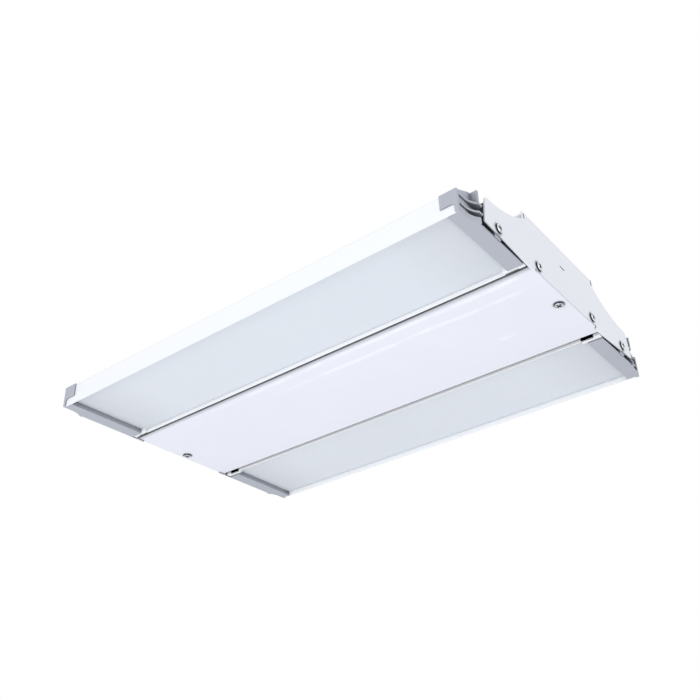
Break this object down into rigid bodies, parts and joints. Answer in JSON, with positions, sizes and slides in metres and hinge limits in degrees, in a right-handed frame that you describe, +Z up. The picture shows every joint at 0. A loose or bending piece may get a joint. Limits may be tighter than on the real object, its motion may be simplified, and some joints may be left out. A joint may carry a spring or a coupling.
{
  "type": "high bay light",
  "caption": "Linear high bay light with two frosted LED modules on finned housings, ribbed grey end caps, scalloped end plates and a raised driver channel.",
  "frame": {"origin": "middle of the light, on the plane of the lens rims", "axes": "+X along the light towards the end with the cable entry, +Y across it towards the right module, +Z up, away from the lenses"},
  "size_m": [0.6152, 0.4136, 0.075],
  "materials": {
    "housing_white": "white powder coat over extruded aluminium, fine even texture",
    "lens_frosted": "frosted translucent acrylic sheet, light grey when unlit",
    "gasket_rubber": "soft grey silicone",
    "board_white": "white solder mask over an aluminium core",
    "driver_case": "plain brushed aluminium case",
    "plate_white": "white powder coat over folded steel sheet",
    "channel_white": "white powder coat over folded steel sheet",
    "cover_white": "smooth white powder coat over folded steel sheet",
    "cap_grey": "mid grey moulded plastic, satin",
    "screw_zinc": "bright zinc plate",
    "terminal_plastic": "off-white moulded nylon",
    "bushing_black": "black nylon"
  },
  "bodies": {
    "root": {"centre_cover": "cover_white", "driver_channel": "channel_white", "entry_bushing": "bushing_black", "far_cover_screw": "screw_zinc", "far_end_plate": "plate_white", "far_left_cap": "cap_grey", "far_left_inner_screw": "screw_zinc", "far_left_outer_screw": "screw_zinc", "far_right_cap": "cap_grey", "far_right_inner_screw": "screw_zinc", "far_right_outer_screw": "screw_zinc", "left_driver": "driver_case", "left_gasket": "gasket_rubber", "left_housing": "housing_white", "left_led_board": "board_white", "left_lens": "lens_frosted", "near_cover_screw": "screw_zinc", "near_end_plate": "plate_white", "near_left_cap": "cap_grey", "near_left_inner_screw": "screw_zinc", "near_left_outer_screw": "screw_zinc", "near_right_cap": "cap_grey", "near_right_inner_screw": "screw_zinc", "near_right_outer_screw": "screw_zinc", "right_driver": "driver_case", "right_gasket": "gasket_rubber", "right_housing": "housing_white", "right_led_board": "board_white", "right_lens": "lens_frosted", "terminal_block": "terminal_plastic"}
  },
  "joints": []
}
